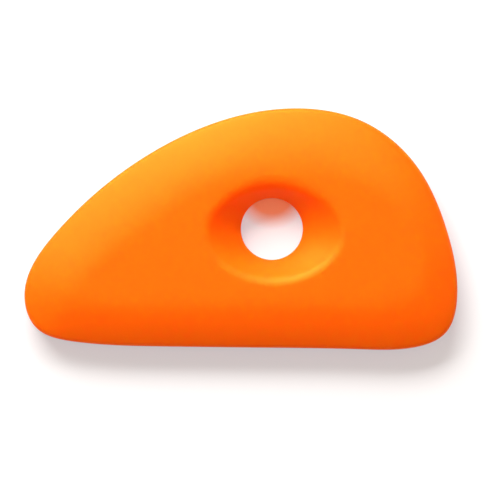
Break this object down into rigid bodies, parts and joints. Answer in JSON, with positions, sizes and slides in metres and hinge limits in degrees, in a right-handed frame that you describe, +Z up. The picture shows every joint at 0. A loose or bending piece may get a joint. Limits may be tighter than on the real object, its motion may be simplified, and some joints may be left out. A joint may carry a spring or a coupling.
{
  "type": "pottery rib",
  "caption": "Soft moulded pottery rib: asymmetric curved blade with a crowned top, thick rounded edge, flat underside and a round finger hole set in an oval dish.",
  "frame": {"origin": "middle of the outline's bounding box, on the flat underside", "axes": "+X from the narrow nose to the broad heel, +Y from the nearly straight base edge to the curved crest, +Z up out of the crowned face"},
  "size_m": [0.127, 0.0709, 0.012],
  "materials": {
    "orange_silicone": "satin, soft and slightly translucent silicone"
  },
  "bodies": {
    "root": {"rib_body": "orange_silicone"}
  },
  "joints": []
}
